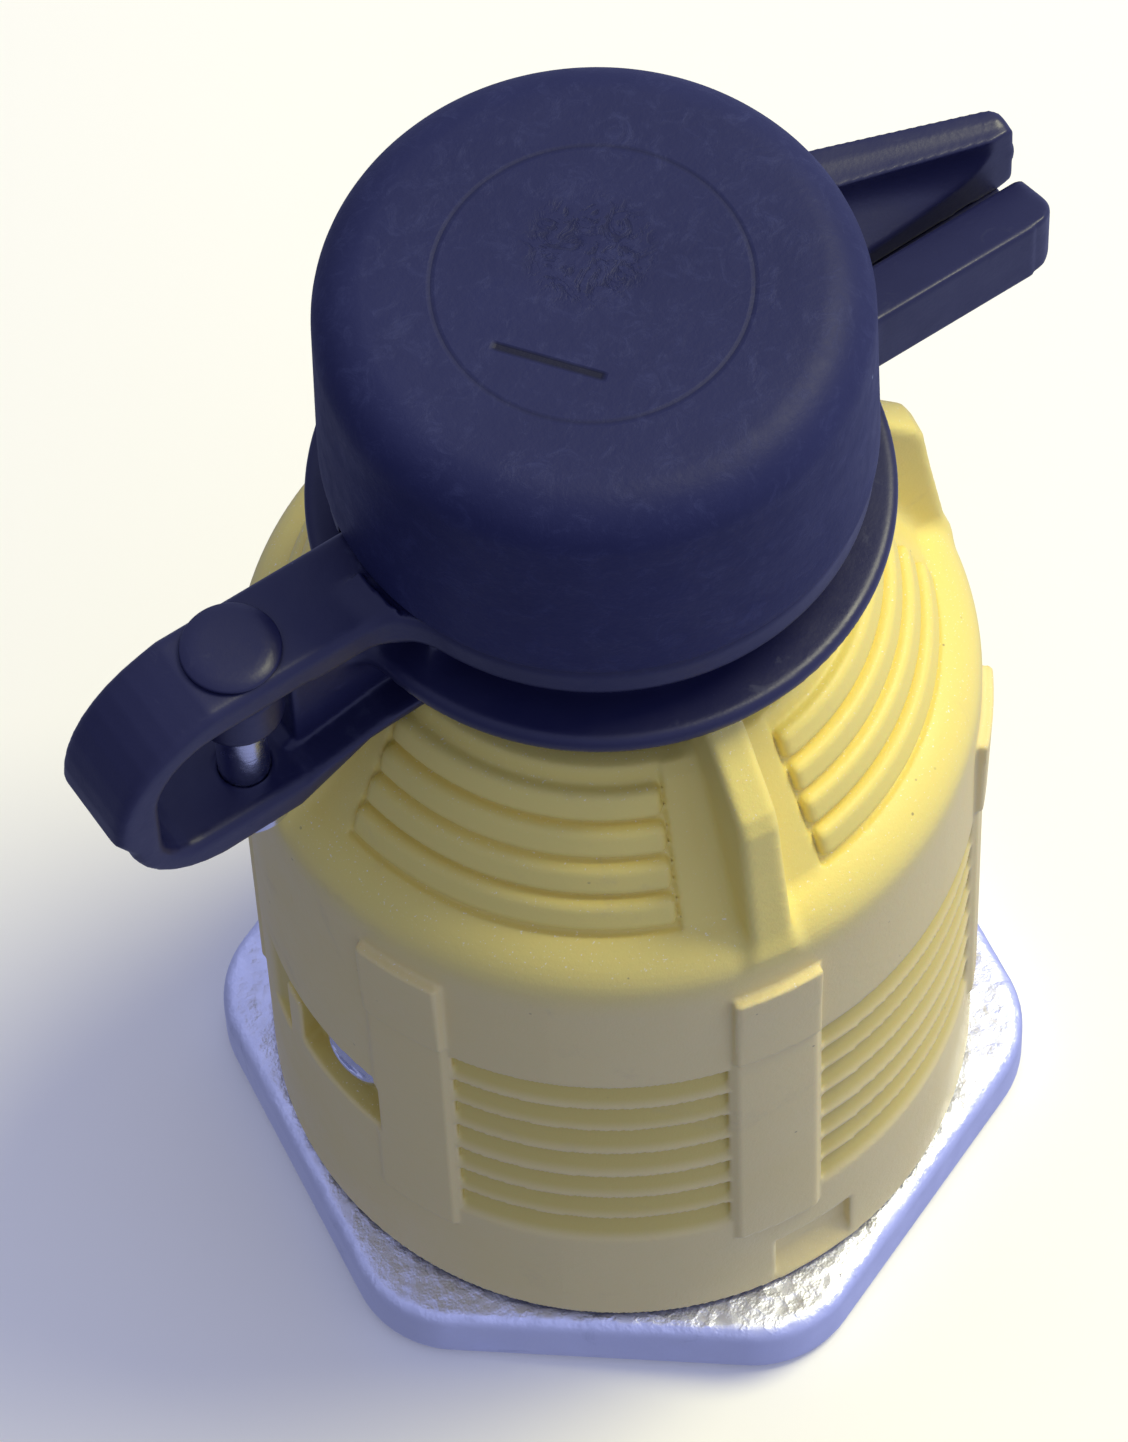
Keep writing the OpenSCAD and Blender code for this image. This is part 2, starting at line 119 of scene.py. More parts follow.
def sector(x, y, period, start=0.0):
    """Folds a plane into repeating sectors: distance out along the sector's middle, and across it."""
    a = np.arctan2(y, x) - radians(start)
    p = radians(period)
    a = (a + p / 2) % p - p / 2
    r = np.hypot(x, y)
    return r * np.cos(a), r * np.sin(a), a, r


def arc(centre, r, a0, a1, n):
    """Points on an arc, in degrees."""
    steps = [radians(a0 + (a1 - a0) * i / n) for i in range(n + 1)]
    return [(centre[0] + r * cos(a), centre[1] + r * sin(a)) for a in steps]


def mesh_field(name, field, low, high, step):
    """Meshes the zero surface of a field with surface nets, after leaving out the blocks it can't cross."""
    block = 8
    counts = [int(np.ceil((h - l) / step / block)) for l, h in zip(low, high)]
    n = [c * block + 1 for c in counts]
    axes = [np.float32(l) + np.arange(m, dtype=np.float32) * np.float32(step) for l, m in zip(low, n)]
    mids = [l + (np.arange(c) + 0.5) * block * step for l, c in zip(low, counts)]
    grid = np.meshgrid(*mids, indexing="ij")
    coarse = field(*[g.ravel() for g in grid]).reshape(counts)
    reach = block * step * 0.5 * 3 ** 0.5 + 2 * step
    values = np.where(coarse > 0, reach, -reach).astype(np.float32)
    for axis in range(3):
        values = np.repeat(values, block, axis=axis)
    values = np.pad(values, [(0, 1)] * 3, mode="edge")
    offsets = np.arange(block + 1)
    near = np.argwhere(np.abs(coarse) < reach * 1.25)
    for part in np.array_split(near, max(1, len(near) // 1500)):
        index = [(part[:, a, None] * block + offsets) for a in range(3)]
        shape = (len(part),) + (block + 1,) * 3
        at = [
            np.broadcast_to(index[0][:, :, None, None], shape),
            np.broadcast_to(index[1][:, None, :, None], shape),
            np.broadcast_to(index[2][:, None, None, :], shape),
        ]
        points = [axes[a][at[a]].ravel() for a in range(3)]
        values[at[0], at[1], at[2]] = field(*points).reshape(shape).astype(np.float32)
    values[values == 0] = 1e-6
    return surface_nets(name, values, axes, step)


def surface_nets(name, values, axes, step):
    solid = values < 0
    corners = [(i, j, k) for i in (0, 1) for j in (0, 1) for k in (0, 1)]
    size = [s - 1 for s in values.shape]
    part = lambda g, c: g[c[0]:c[0] + size[0], c[1]:c[1] + size[1], c[2]:c[2] + size[2]]
    total = sum(part(solid, c).astype(np.int8) for c in corners)
    cells = np.argwhere((total > 0) & (total < 8))
    v = np.stack([values[tuple((cells + c).T)] for c in corners], 1).astype(float)
    place = np.zeros((len(cells), 3))
    hits = np.zeros(len(cells))
    for a, ca in enumerate(corners):
        for b, cb in enumerate(corners):
            if b > a and sum(p != q for p, q in zip(ca, cb)) == 1:
                crossing = (v[:, a] < 0) != (v[:, b] < 0)
                t = np.where(crossing, v[:, a] / np.where(crossing, v[:, a] - v[:, b], 1), 0)
                point = np.array(ca) + t[:, None] * (np.array(cb) - np.array(ca))
                place += point * crossing[:, None]
                hits += crossing
    place = cells + place / hits[:, None]
    low = np.array([a[0] for a in axes], float)
    verts = (low + place * step) * MM
    number = np.full(size, -1, np.int32)
    number[tuple(cells.T)] = np.arange(len(cells))
    quads = []
    for axis in range(3):
        others = [a for a in range(3) if a != axis]
        first = [slice(1, -1)] * 3
        first[axis] = slice(0, -1)
        second = list(first)
        second[axis] = slice(1, None)
        a, b = solid[tuple(first)], solid[tuple(second)]
        edges = np.argwhere(a != b)
        outward = a[tuple(edges.T)]
        base = edges + [0 if i == axis else 1 for i in range(3)]
        ring = []
        for du, dv in ((0, 0), (1, 0), (1, 1), (0, 1)):
            c = base.copy()
            c[:, others[0]] -= du
            c[:, others[1]] -= dv
            ring.append(number[tuple(c.T)])
        quad = np.stack(ring, 1)
        flip = outward if axis == 1 else ~outward
        quad[flip] = quad[flip][:, ::-1]
        quads.append(quad)
    return raw_mesh(name, verts, np.concatenate(quads))


def raw_mesh(name, verts, quads):
    mesh = bpy.data.meshes.new(name)
    mesh.vertices.add(len(verts))
    mesh.vertices.foreach_set("co", np.asarray(verts, np.float32).ravel())
    mesh.loops.add(quads.size)
    mesh.loops.foreach_set("vertex_index", quads.astype(np.int32).ravel())
    mesh.polygons.add(len(quads))
    mesh.polygons.foreach_set("loop_start", np.arange(0, quads.size, 4, dtype=np.int32))
    mesh.update(calc_edges=True)
    mesh.validate()
    mesh.shade_smooth()
    obj = bpy.data.objects.new(name, mesh)
    bpy.context.scene.collection.objects.link(obj)
    return obj


def lathe(name, profile, centre=(0, 0), turns=256, longest=1.5):
    """An outline in (radius, height), from the axis back to the axis, turned about a vertical line."""
    outline = [profile[0]]
    for start, end in zip(profile, profile[1:]):
        pieces = max(1, round(hypot(end[0] - start[0], end[1] - start[1]) / longest))
        for k in range(1, pieces + 1):
            outline.append(tuple(s + (e - s) * k / pieces for s, e in zip(start, end)))
    outline = np.array(outline, float)
    a = np.linspace(0, 2 * pi, turns, endpoint=False)
    r, z = np.maximum(outline[:, 0], 1e-4), outline[:, 1]
    verts = np.stack([
        centre[0] + np.outer(np.cos(a), r), centre[1] + np.outer(np.sin(a), r),
        np.broadcast_to(z, (turns, len(z)))], 2).reshape(-1, 3) * MM
    m = len(outline)
    i, j = np.meshgrid(np.arange(turns), np.arange(m - 1), indexing="ij")
    i2, j2 = (i + 1) % turns, j + 1
    quads = np.stack([i * m + j, i2 * m + j, i2 * m + j2, i * m + j2], 2).reshape(-1, 4)
    return raw_mesh(name, verts, quads)


# ---- housing ---------------------------------------------------------------

def housing_field(x, y, z):
    """The yellow moulding, drum and crown, with everything that stands out of it or is cut in."""
    x, y = turned(x, y, BODY_TURN)
    out, across, angle, r = sector(x, y, 90)
    profile = (
        [(BORE_R, DRUM_FOOT), (DRUM_R, DRUM_FOOT)]
        + arc((DRUM_R - SHOULDER_R, SHOULDER_Z), SHOULDER_R, 0, 70, 7)
        + [CONE_BASE, CONE_TOP, (20.8, CROWN_TOP), (18.8, CROWN_TOP), (18.8, 84.1), (20.5, 84.1),
           (20.5, FLOOR_Z), (15, FLOOR_Z), (15, FLOOR_Z - 3), (24, FLOOR_Z - 3), (BORE_R, 64)])
    body = polygon(r, z, profile)

    # Crown panels: four rounded bands that lean out over one another, between the fins
    lean = (CONE_TOP[0] - CONE_BASE[0], CONE_TOP[1] - CONE_BASE[1])
    length = hypot(*lean)
    tangent = (lean[0] / length, lean[1] / length)
    along = (r - CONE_BASE[0]) * tangent[0] + (z - CONE_BASE[1]) * tangent[1]
    off = (r - CONE_BASE[0]) * tangent[1] - (z - CONE_BASE[1]) * tangent[0]
    beside = r * np.sin(radians(13.5) - np.minimum(np.abs(angle), radians(45)))
    pocket = np.maximum(np.maximum(-0.55 - off, span(along, -0.4, length + 2)), beside)
    body = cut(body, pocket, 0.4)
    pitch = length / 4
    for k in range(4):
        u, w = along - pitch * (k + 0.52), off + 0.28
        c, s = cos(radians(9)), sin(radians(9))
        band = box(c * u + s * w, c * w - s * u, (0, 0), (pitch * 0.43, 0.92), 0.8)
        body = blend_min(body, blend_max(band, beside + 0.25, 0.7), 0.25)

    # Fins, with soft edges and filleted feet
    fin = polygon(out, z, [(19.2, 86), (27, 72), (31.2, 70), (31.95, 71.5), (30.2, 83), (29.5, 88.4),
                           (28.8, 90.1), (23.8, 95.4), (22.6, 96.3), (19.2, 97.6)])
    fin = blend_max(fin + 0.1, np.abs(across) - 1.72 - (97 - z) * 0.012, 0.9)
    body = blend_min(body, fin, 1.5)

    # Pads above the flange's corners: a proud upper part and a fainter lower one
    across_pad = np.abs(sector(x, y, 60, 30)[1])
    pad_top, pad_ledge, pad_foot = 66.2, 54.6, 20
    proud = DRUM_R + 1.05 - np.clip(66 - z, 0, 13) * 0.025
    upper = np.maximum(span(r, 30, proud), span(z, pad_ledge, pad_top))
    upper = blend_max(upper, across_pad - 4.15, 0.35)
    lower = np.maximum(span(r, 30, DRUM_R + 0.42), span(z, pad_foot, pad_ledge + 0.6))
    lower = blend_max(lower, across_pad - 4.0, 0.3)
    body = blend_min(blend_min(body, lower, 0.35), upper, 0.22)

    # Shingled grooves in four of the flats, sloping out from under each ledge
    across_flat = np.abs(sector(x, y, 60, 0)[1])
    half_width, rows, pitch_z, depth, top = 11.8, 7, 4.35, 1.15, 53.2
    local = (z - top) % pitch_z
    tilt = hypot(pitch_z, depth)
    slope = ((r - DRUM_R) * pitch_z + local * depth) / tilt
    windows_side = np.abs(np.sin(np.arctan2(y, x))) < 0.5
    shingle = np.maximum(-slope, span(z, top - rows * pitch_z, top))
    shingle = np.maximum(shingle, np.where(windows_side, 2.0, across_flat - half_width))
    body = np.maximum(body, -shingle)

    # Latch notches and the side windows with their deeper recess
    for a in LATCH_ANGLES:
        nx, ny = turned(x, y, radians(a))
        notch = polygon(nx, z, [(30.6, 15.9), (34, 15.9), (34, 8.4), (31.8, 8.4), (30.6, 11)])
        body = cut(body, np.maximum(notch, np.abs(ny) - 3.9), 0.25)
    for a in WINDOW_ANGLES:
        wx, wy = turned(x, y, radians(a))
        window = np.maximum(span(wx, WINDOW_SEAT, 36), box(wy, z, (0, WINDOW_Z), (5.7, 4.4), 0.7))
        deep = np.maximum(span(wx, WINDOW_SEAT + 0.1, 36), box(wy, z, (-12.1, 33.7), (3.75, 5.7), 0.6))
        step = np.maximum(span(wx, WINDOW_SEAT + 1, 36), box(wy, z, (-7.1, 38.4), (2.2, 1.0), 0.2))
        hole = np.maximum(span(wx, 26, 31), np.hypot(wy, z - WINDOW_Z) - 2.4)
        body = cut(body, np.minimum(np.minimum(window, deep), np.minimum(step, hole)), 0.3)
    return body


def flange_field(x, y, z):
    """The hexagonal plate and its inner skirt, with holes for the side screws and the lug screws."""
    x, y = turned(x, y, BODY_TURN)
    out, across, _, r = sector(x, y, 60, 0)
    reach = (FLANGE_IN_R - FLANGE_CORNER) / cos(radians(30))
    flat = FLANGE_IN_R - FLANGE_CORNER
    edge = np.hypot(np.maximum(out - flat, 0), np.maximum(np.abs(across) - reach / 2, 0))
    edge = np.where(out > flat, edge, out - flat) - FLANGE_CORNER
    plate = blend_max(edge, span(z, 0, FLANGE_H), 1.5)
    skirt = np.maximum(r - SKIRT_OUT_R, span(z, 0, SKIRT_H))
    solid = np.maximum(np.minimum(plate, skirt), SKIRT_IN_R - r)
    for angles, height, hole_r in ((WINDOW_ANGLES, WINDOW_Z, 2.4), (LUG_ANGLES, LUG_Z, 3)):
        for a in angles:
            wx, wy = turned(x, y, radians(a))
            solid = np.maximum(solid, -np.maximum(-wx, np.hypot(wy, z - height) - hole_r))
    return solid


# ---- clamp -----------------------------------------------------------------

def ring_section(r, z, outer, levels, round_by):
    """A ring about the cord passage, with a rounded rectangle as its section."""
    middle, half = (CORD_R + outer) / 2, (outer - CORD_R) / 2
    return box(r, z, (middle, sum(levels) / 2), (half, (levels[1] - levels[0]) / 2), round_by)


def ring_field(r, z, web_half):
    """The clamp's top flange and the web below it."""
    web_middle = 103.9
    web = ring_section(r, z, WEB_R, (web_middle - web_half, web_middle + web_half), 0)
    return blend_min(ring_section(r, z, RIM_R, RIM_Z, 0.9), web, 1.2)


def loop_fields(x, z):
    """Outer and inner outline of the hinge ear, seen from the side."""
    x = -x
    outer = polygon(x, z, [(17.5, RIM_Z[1]), (40.4, RIM_Z[1])] + arc((38.4, 97), 12, 72, 0, 8)
                    + arc((39.9, 95.3), 9.2, -6, -84, 7) + [(33, 86.4), (26, 90.4), (17.5, 91)])
    inner = polygon(x, z, [(LOOP_WEB_X, RIM_Z[0]), (39.5, RIM_Z[0])] + arc((40, 99.2), 6, 80, 0, 7)
                    + arc((42.5, 93.7), 3.5, 0, -90, 5) + [(LOOP_WEB_X + 1.2, 90.2), (LOOP_WEB_X, 91)])
    return outer, inner


def base_field(x, y, z):
    """Fixed half of the clamp: front half ring, lower lip, collar, loop ear and front cheek."""
    r = np.hypot(x, y)
    outer, inner = loop_fields(x, z)
    width = EAR_HALF - 0.55 * np.clip((-x - 46) / 4, 0, 1) * np.clip(1 - np.abs(y) / EAR_HALF, 0, 1)
    ear = blend_max(blend_max(outer, -inner, 0.6), np.abs(y) - width, 1.1)
    pocket = polygon(-x, z, [(WEB_R, RIM_Z[0]), (LOOP_WEB_X + 1, RIM_Z[0]), (LOOP_WEB_X + 1, 90.3),
                             (24, 92.2), (WEB_R, 92.4)])
    ear = cut(ear, np.maximum(pocket, y + 1.2), 0.5)
    cheek = polygon(y, z, [(-EAR_HALF, 101.8), (RIDGE_Y, 101.8), (RIDGE_Y, 107.1), (-4.2, 109.4),
                           (-EAR_HALF, 109.1)])
    end = np.hypot(np.maximum(x - 40.5, 0), np.maximum(-y - 1.5, 0)) - 3.0
    cheek = blend_max(blend_max(cheek, span(x, 16.4, 43.5), 1.0), np.where(x > 40.5, end, -9), 0.5)
    upper = blend_min(blend_min(ring_field(r, z, 3.4), ear, 4.0), cheek, 3.2)
    upper = np.maximum(upper, y + 0.01)
    upper = np.minimum(upper, np.minimum(ear, cheek))
    lip = ring_section(r, z, LIP_R, LIP_Z, 0.7)
    collar = np.maximum(r - COLLAR_R, span(z, 81, 99.5))
    low = blend_min(lip, collar, 1.6)
    low = blend_min(low, np.maximum(ear, z - LIP_Z[1]), 3.2)
    solid = np.maximum(np.minimum(upper, low), CORD_R - r)
    solid = np.maximum(solid, PIN_R + 0.02 - np.hypot(x + PIN_X, y))
    arm_room = np.maximum(np.maximum(span(x, -LOOP_WEB_X - 1, -8), -0.01 - y), span(z, LIP_Z[1], RIM_Z[0]))
    solid = np.maximum(solid, -arm_room)
    fx, fy = turned(x, y, pi + BODY_TURN)
    fin_slot = np.maximum(np.maximum(span(fx, 18.8, 30.3), np.abs(fy) - 2.3), z - 98.3)
    solid = cut(solid, fin_slot, 0.3)
    cap_seat = np.maximum(r - CAP_R - PLAY, RIM_Z[1] - z)
    snap_groove = np.maximum(span(r, 17.3, 30), span(z, 82.2, 83.9))
    screw_hole = np.maximum(np.hypot(x - SCREW_X, z - SCREW_Z) - 2.6, span(y, -4, 3))
    nut = np.maximum(np.maximum(np.abs(x - SCREW_X) - 2.6, span(z, 101.1, 106.8)), span(y, -3, -0.4))
    for gone in (cap_seat, snap_groove, screw_hole, nut):
        solid = np.maximum(solid, -gone)
    return solid


def jaw_field(x, y, z):
    """Swinging half of the clamp: back half ring, hollow back cheek, arm, knuckle and tongue."""
    r = np.hypot(x, y)
    behind = RIDGE_Y + PLAY - turned(x + PIN_X, y, CLOSE_ANGLE)[1]
    ring = np.maximum(ring_field(r, z, 2.8), LIP_Z[1] + PLAY - z)

    # The cheek narrows along the ear; its sole slopes up to the rim at the back
    along = np.clip((x - 20) / 24.8, 0, 1)
    back, slope = 15.6 + (6.6 - 15.6) * along, 6 + (2.2 - 6) * along
    rim_in = back - slope / 2 - 1.8
    wall = np.maximum(np.maximum(y - back, rim_in - y), span(z, 101.8, 109.4))
    rise = (z - 103.0) - (y - 2) / np.maximum(rim_in + 1.2 - 2, 0.5) * 5.2
    sole = np.maximum(np.maximum(rise * 0.75, span(z, 101.8, 109.2)), span(y, 1, back - 0.5))
    cheek = blend_max(blend_min(wall, sole, 1.4), span(x, 14, 44.8), 1.2)
    ring = blend_min(ring, cheek, 3.0)
    drill = np.hypot(x - SCREW_X, z - SCREW_Z)
    boss = np.maximum(drill - 3.1, span(y, 0, 9.2))
    solid = np.maximum(blend_min(ring, boss, 0.6), behind)

    # Arm and knuckle in the loop ear, and the tongue that closes the gap from below
    arm_z = (LIP_Z[1] + PLAY, RIM_Z[0] - PLAY)
    arm = np.maximum(np.maximum(span(x, -PIN_X, -15.8), span(y, 0.9, 5.9)), span(z, *arm_z))
    knuckle = blend_max(np.hypot(x + PIN_X, y) - 3.9, span(z, 99.6, arm_z[1]), 0.5)
    tongue = np.maximum(span(x, 25.4, 43.4), np.minimum(
        box(y, z, (3.4, 100.55), (2.8, 0.65), 0.3), box(y, z, (5.6, 101.6), (0.6, 1.6), 0.3)))
    under_strap = np.maximum(np.maximum(x + 8, y - 5.7), arm_z[1] - z)
    solid = np.minimum(np.minimum(blend_min(solid, arm, 0.5), knuckle), tongue)
    solid = np.maximum(solid, -under_strap)
    solid = np.maximum(solid, PIN_R + 0.05 - np.hypot(x + PIN_X, y))
    solid = np.maximum(solid, np.where(y > 0, SCREW_R + 0.08 - drill, -9))
    solid = np.maximum(solid, -np.maximum(drill - 4.4, 9.2 - y))

    # Two torn nubs of moulding flash at the tip
    nubs = np.minimum(np.hypot(np.hypot(x - 44.3, y - 6.2), z - 107.2) - 0.75,
                      np.hypot(np.hypot(x - 44.6, y - 5.2), z - 105.6) - 0.6)
    solid = blend_min(solid, nubs, 0.5)

    # Room under the cap's foot over the whole closing travel
    cap_seat = np.maximum(r - CAP_R - 2.6, RIM_Z[1] + 0.02 - z)
    return np.maximum(np.maximum(solid, CORD_R - r), -cap_seat)


def screw_field(x, y, z, length, head_r, head_h, shank_r, slot):
    """A screw along +X whose head's seat is at x = 0."""
    r = np.hypot(y, z)
    dome = np.hypot(np.maximum(x - head_h + 3.0, 0) * 1.6, r) - head_r
    head = blend_max(np.maximum(dome, r - head_r), span(x, 0, head_h), 0.5)
    shank = np.maximum(r - shank_r, span(x, -length, 0.2))
    return cut(np.minimum(head, shank), np.maximum(np.abs(z) - slot, head_h - 1.0 - x), 0.12)


def aim(obj, origin, axis):
    """Moves a piece made along +X so that it starts at origin, in millimetres, and runs along axis."""
    turn = Vector((1, 0, 0)).rotation_difference(Vector(axis)).to_matrix().to_4x4()
    obj.data.transform(Matrix.Translation(Vector(origin) * MM) @ turn)
    return obj


# ---- materials -------------------------------------------------------------

class Shader:
    """A small builder for procedural materials."""

    def __init__(self, name):
        self.material = bpy.data.materials.new(name)
        self.material.use_nodes = True
        self.tree = self.material.node_tree
        self.bsdf = self.tree.nodes["Principled BSDF"]
        self.place = self.node("ShaderNodeTexCoord").outputs["Object"]

    def node(self, kind, inputs=None, **settings):
        n = self.tree.nodes.new(kind)
        for key, value in settings.items():
            setattr(n, key, value)
        for key, value in (inputs or {}).items():
            self.set(n.inputs[key], value)
        return n

    def set(self, socket, value):
        if isinstance(value, bpy.types.NodeSocket):
            self.tree.links.new(value, socket)
        else:
            socket.default_value = value

    def noise(self, scale, detail=4.0, rough=0.6, warp=0.0):
        n = self.node("ShaderNodeTexNoise", {"Vector": self.place, "Scale": scale, "Detail": detail,
                                             "Roughness": rough, "Distortion": warp})
        return n.outputs["Fac"]

    def cells(self, scale, feature="F1"):
        n = self.node("ShaderNodeTexVoronoi", {"Vector": self.place, "Scale": scale}, feature=feature)
        return n.outputs["Distance"]

    def remap(self, value, a, b, lo=0.0, hi=1.0, smooth=False):
        n = self.node("ShaderNodeMapRange", {"Value": value, "From Min": a, "From Max": b, "To Min": lo,
                                             "To Max": hi})
        n.interpolation_type = "SMOOTHSTEP" if smooth else "LINEAR"
        return n.outputs["Result"]

    def math(self, kind, a, b=0.0):
        n = self.node("ShaderNodeMath", operation=kind)
        self.set(n.inputs[0], a)
        self.set(n.inputs[1], b)
        return n.outputs[0]

    def mix(self, amount, a, b):
        n = self.node("ShaderNodeMix", data_type="RGBA")
        self.set(n.inputs["Factor"], amount)
        for socket, value in ((n.inputs[6], a), (n.inputs[7], b)):
            self.set(socket, value if isinstance(value, bpy.types.NodeSocket) else (*value, 1))
        return n.outputs[2]

    def part(self, axis):
        return self.node("ShaderNodeSeparateXYZ", {"Vector": self.place}).outputs[axis]

    def finish(self, color, rough, height, bump=0.2, reach=0.0004, **constants):
        self.set(self.bsdf.inputs["Base Color"], color)
        self.set(self.bsdf.inputs["Roughness"], rough)
        n = self.node("ShaderNodeBump", {"Height": height, "Strength": bump, "Distance": reach})
        self.set(self.bsdf.inputs["Normal"], n.outputs["Normal"])
        for key, value in constants.items():
            self.bsdf.inputs[key.replace("_", " ")].default_value = value
        return self.material


def yellow_nylon():
    """Satin moulded nylon: slow colour drift, a painted sparkle highlight on upward faces, painted shade in
    the drum's grooves, a warmer painted-light tint on the crown, grime and a few dark specks.
    """
    m = Shader("yellow_nylon")
    tone = m.mix(m.noise(38, 5), (0.77, 0.625, 0.235), (0.83, 0.69, 0.29))
    x, y, z = (m.part(a) for a in "XYZ")
    radius = m.math("SQRT", m.math("ADD", m.math("MULTIPLY", x, x), m.math("MULTIPLY", y, y)))
    # Painted shade: the recessed shingle grooves on the drum are tinted a darker olive, standing in for the
    # shade and yellow bounce light inside the recesses
    on_drum = m.math("MULTIPLY", m.remap(z, 0.021, 0.023), m.remap(z, 0.0545, 0.0525))
    groove_painted_shade = m.remap(radius, (DRUM_R - 0.04) * MM, (DRUM_R - 0.45) * MM, smooth=True)
    tone = m.mix(m.math("MULTIPLY", m.math("MULTIPLY", groove_painted_shade, on_drum), 0.85), tone, (0.66, 0.525, 0.11))
    # Painted light: the upward-facing crown is tinted a warmer, brighter yellow than the drum, standing in
    # for the key light falling on it
    crown = m.remap(z, (SHOULDER_Z - 4) * MM, (SHOULDER_Z + 4) * MM, smooth=True)
    tone = m.mix(m.math("MULTIPLY", crown, 0.85), tone, (0.85, 0.695, 0.155))
    grime = m.remap(m.noise(90, 8, 0.7, 0.6), 0.56, 0.76, smooth=True)
    tone = m.mix(m.math("MULTIPLY", grime, 0.26), tone, (0.46, 0.38, 0.22))
    # Painted highlight: a fine near-white sparkle, laid only on upward-facing surfaces where the key light
    # falls
    painted_glint = m.remap(m.noise(4200, 2, 0.5), 0.66, 0.74)
    up = m.node("ShaderNodeSeparateXYZ", {"Vector": m.node("ShaderNodeNewGeometry").outputs["Normal"]})
    facing = m.remap(up.outputs["Z"], 0.25, 0.75)
    painted_glint = m.math("MULTIPLY", painted_glint, facing)
    tone = m.mix(m.math("MULTIPLY", painted_glint, 0.6), tone, (0.98, 0.96, 0.88))
    speck = m.remap(m.cells(430), 0.075, 0.045)
    speck = m.math("MULTIPLY", speck, m.remap(m.noise(210, 2), 0.56, 0.64))
    tone = m.mix(m.math("MULTIPLY", speck, 0.6), tone, (0.16, 0.12, 0.08))
    scuff = m.remap(m.noise(160, 6, 0.75, 2.0), 0.60, 0.70)
    rough = m.remap(m.noise(120, 4), 0.3, 0.7, 0.42, 0.56)
    rough = m.math("ADD", rough, m.math("MULTIPLY", scuff, 0.10))
    height = m.math("ADD", m.noise(1500, 3, 0.55), m.math("MULTIPLY", m.noise(5200, 2), 0.6))
    return m.finish(tone, rough, height, 0.28, 0.00012, Specular_IOR_Level=0.40, Subsurface_Weight=0.06,
                    Subsurface_Scale=0.0012)


def zinc_steel():
    """Plated steel with a coarse bright grain, dulled in patches."""
    m = Shader("zinc_steel")
    tone = m.mix(m.noise(60, 6, 0.7, 0.5), (0.72, 0.74, 0.90), (0.88, 0.90, 1.0))
    stain = m.remap(m.noise(130, 8, 0.7, 0.8), 0.56, 0.72, smooth=True)
    tone = m.mix(m.math("MULTIPLY", stain, 0.35), tone, (0.42, 0.46, 0.56))
    grain = m.remap(m.noise(520, 3, 0.6), 0.42, 0.62)
    rough = m.remap(m.noise(300, 5, 0.7), 0.35, 0.7, 0.36, 0.54)
    up = m.node("ShaderNodeSeparateXYZ", {"Vector": m.node("ShaderNodeNewGeometry").outputs["Normal"]})
    facing = m.remap(up.outputs["Z"], 0.35, 0.8)
    pebbles = m.math("MULTIPLY", m.math("ADD", m.cells(640), m.math("MULTIPLY", grain, 0.5)), facing)
    height = m.math("ADD", m.math("MULTIPLY", pebbles, 1.6), m.math("MULTIPLY", m.noise(1600, 4, 0.7), 0.35))
    return m.finish(tone, rough, height, 0.34, 0.00022, Metallic=1.0)


def black_plastic():
    """Satin black moulding, glossier than the cap, with handling marks and pale dust."""
    m = Shader("black_plastic")
    tone = m.mix(m.noise(70, 5), (0.010, 0.011, 0.042), (0.017, 0.018, 0.062))
    rub = m.remap(m.noise(240, 7, 0.75, 1.2), 0.58, 0.70, smooth=True)
    tone = m.mix(m.math("MULTIPLY", rub, 0.3), tone, (0.045, 0.050, 0.095))
    dust = m.math("MULTIPLY", m.remap(m.cells(380), 0.07, 0.03), m.remap(m.noise(150, 2), 0.60, 0.66))
    tone = m.mix(dust, tone, (0.40, 0.44, 0.58))
    rough = m.remap(m.noise(200, 5, 0.7), 0.3, 0.7, 0.30, 0.46)
    rough = m.math("ADD", rough, m.math("MULTIPLY", rub, 0.2))
    height = m.math("ADD", m.noise(2400, 3), m.math("MULTIPLY", m.noise(300, 4), 0.5))
    return m.finish(tone, rough, height, 0.14, 0.0001, Specular_IOR_Level=0.42)


